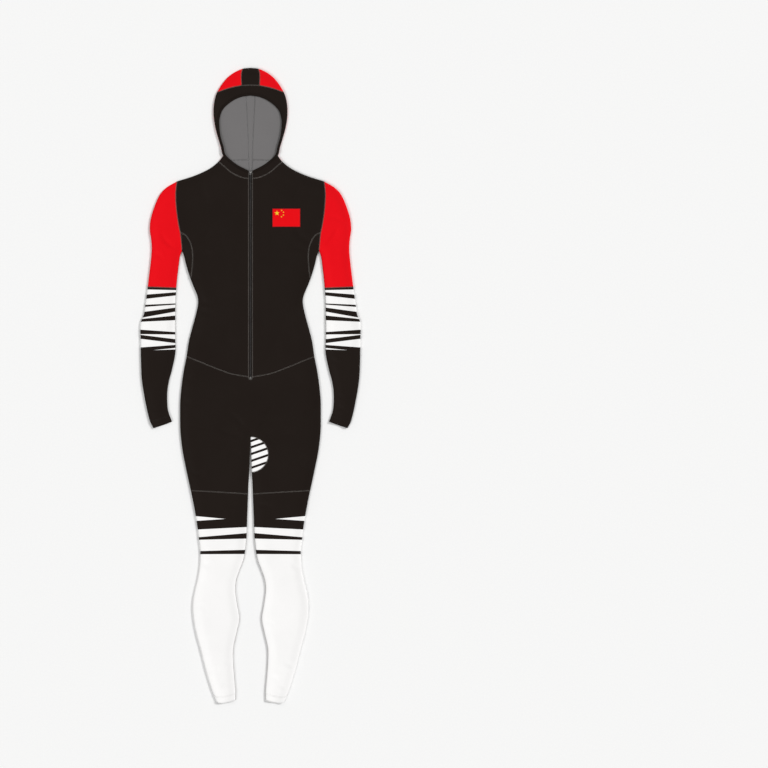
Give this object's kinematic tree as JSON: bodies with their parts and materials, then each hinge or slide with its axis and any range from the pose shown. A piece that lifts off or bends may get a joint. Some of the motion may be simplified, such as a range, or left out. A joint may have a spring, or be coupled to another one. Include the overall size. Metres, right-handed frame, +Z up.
{
  "type": "speed skating suit",
  "caption": "Hooded speed skating suit laid flat face up: black body with front zip, red shoulders and hood sides, striped sleeves, banded white legs.",
  "frame": {"origin": "middle of the laid suit's length and width, on the surface it lies on", "axes": "+X to the wearer's left, +Y from the hems to the crown, +Z up from the surface"},
  "size_m": [0.551, 1.5885, 0.0077],
  "materials": {
    "black_knit": "smooth warp-knit stretch cloth, soft sheen",
    "red_knit": "smooth warp-knit stretch cloth, soft sheen, grey wrong side",
    "sleeve_print": "stretch cloth printed with black and white slanted bands",
    "leg_print": "white stretch cloth printed with black bands below the knee seam",
    "zip_tape": "woven tape",
    "zip_coil": "nylon coil",
    "zip_metal": "grey enamelled metal",
    "flag_print": "transferred film, red with yellow stars",
    "patch_print": "stretch cloth printed white with black slanted bars"
  },
  "bodies": {
    "suit": {"front_left": "black_knit", "front_right": "black_knit", "back_body": "black_knit", "side_panel_left": "black_knit", "side_panel_right": "black_knit", "upper_sleeve_left": "red_knit", "upper_sleeve_right": "red_knit", "lower_sleeve_left": "sleeve_print", "lower_sleeve_right": "sleeve_print", "shorts_front": "black_knit", "shorts_back": "black_knit", "lower_leg_left": "leg_print", "lower_leg_right": "leg_print", "hood_left": "red_knit", "hood_right": "red_knit", "hood_centre": "black_knit", "hood_front": "black_knit", "zip_tape_left": "zip_tape", "zip_tape_right": "zip_tape", "zip_coil": "zip_coil", "zip_stop": "zip_metal", "zip_slider": "zip_metal", "flag": "flag_print", "thigh_patch": "patch_print"},
    "pull": {"zip_pull": "zip_metal"}
  },
  "joints": [
    {"name": "pull_hinge", "type": "hinge", "parent": "suit", "child": "pull", "pos_m": [0, 0.53175, 0.0059], "axis": [-1, 0, 0], "range_deg": [0, 180]}
  ]
}
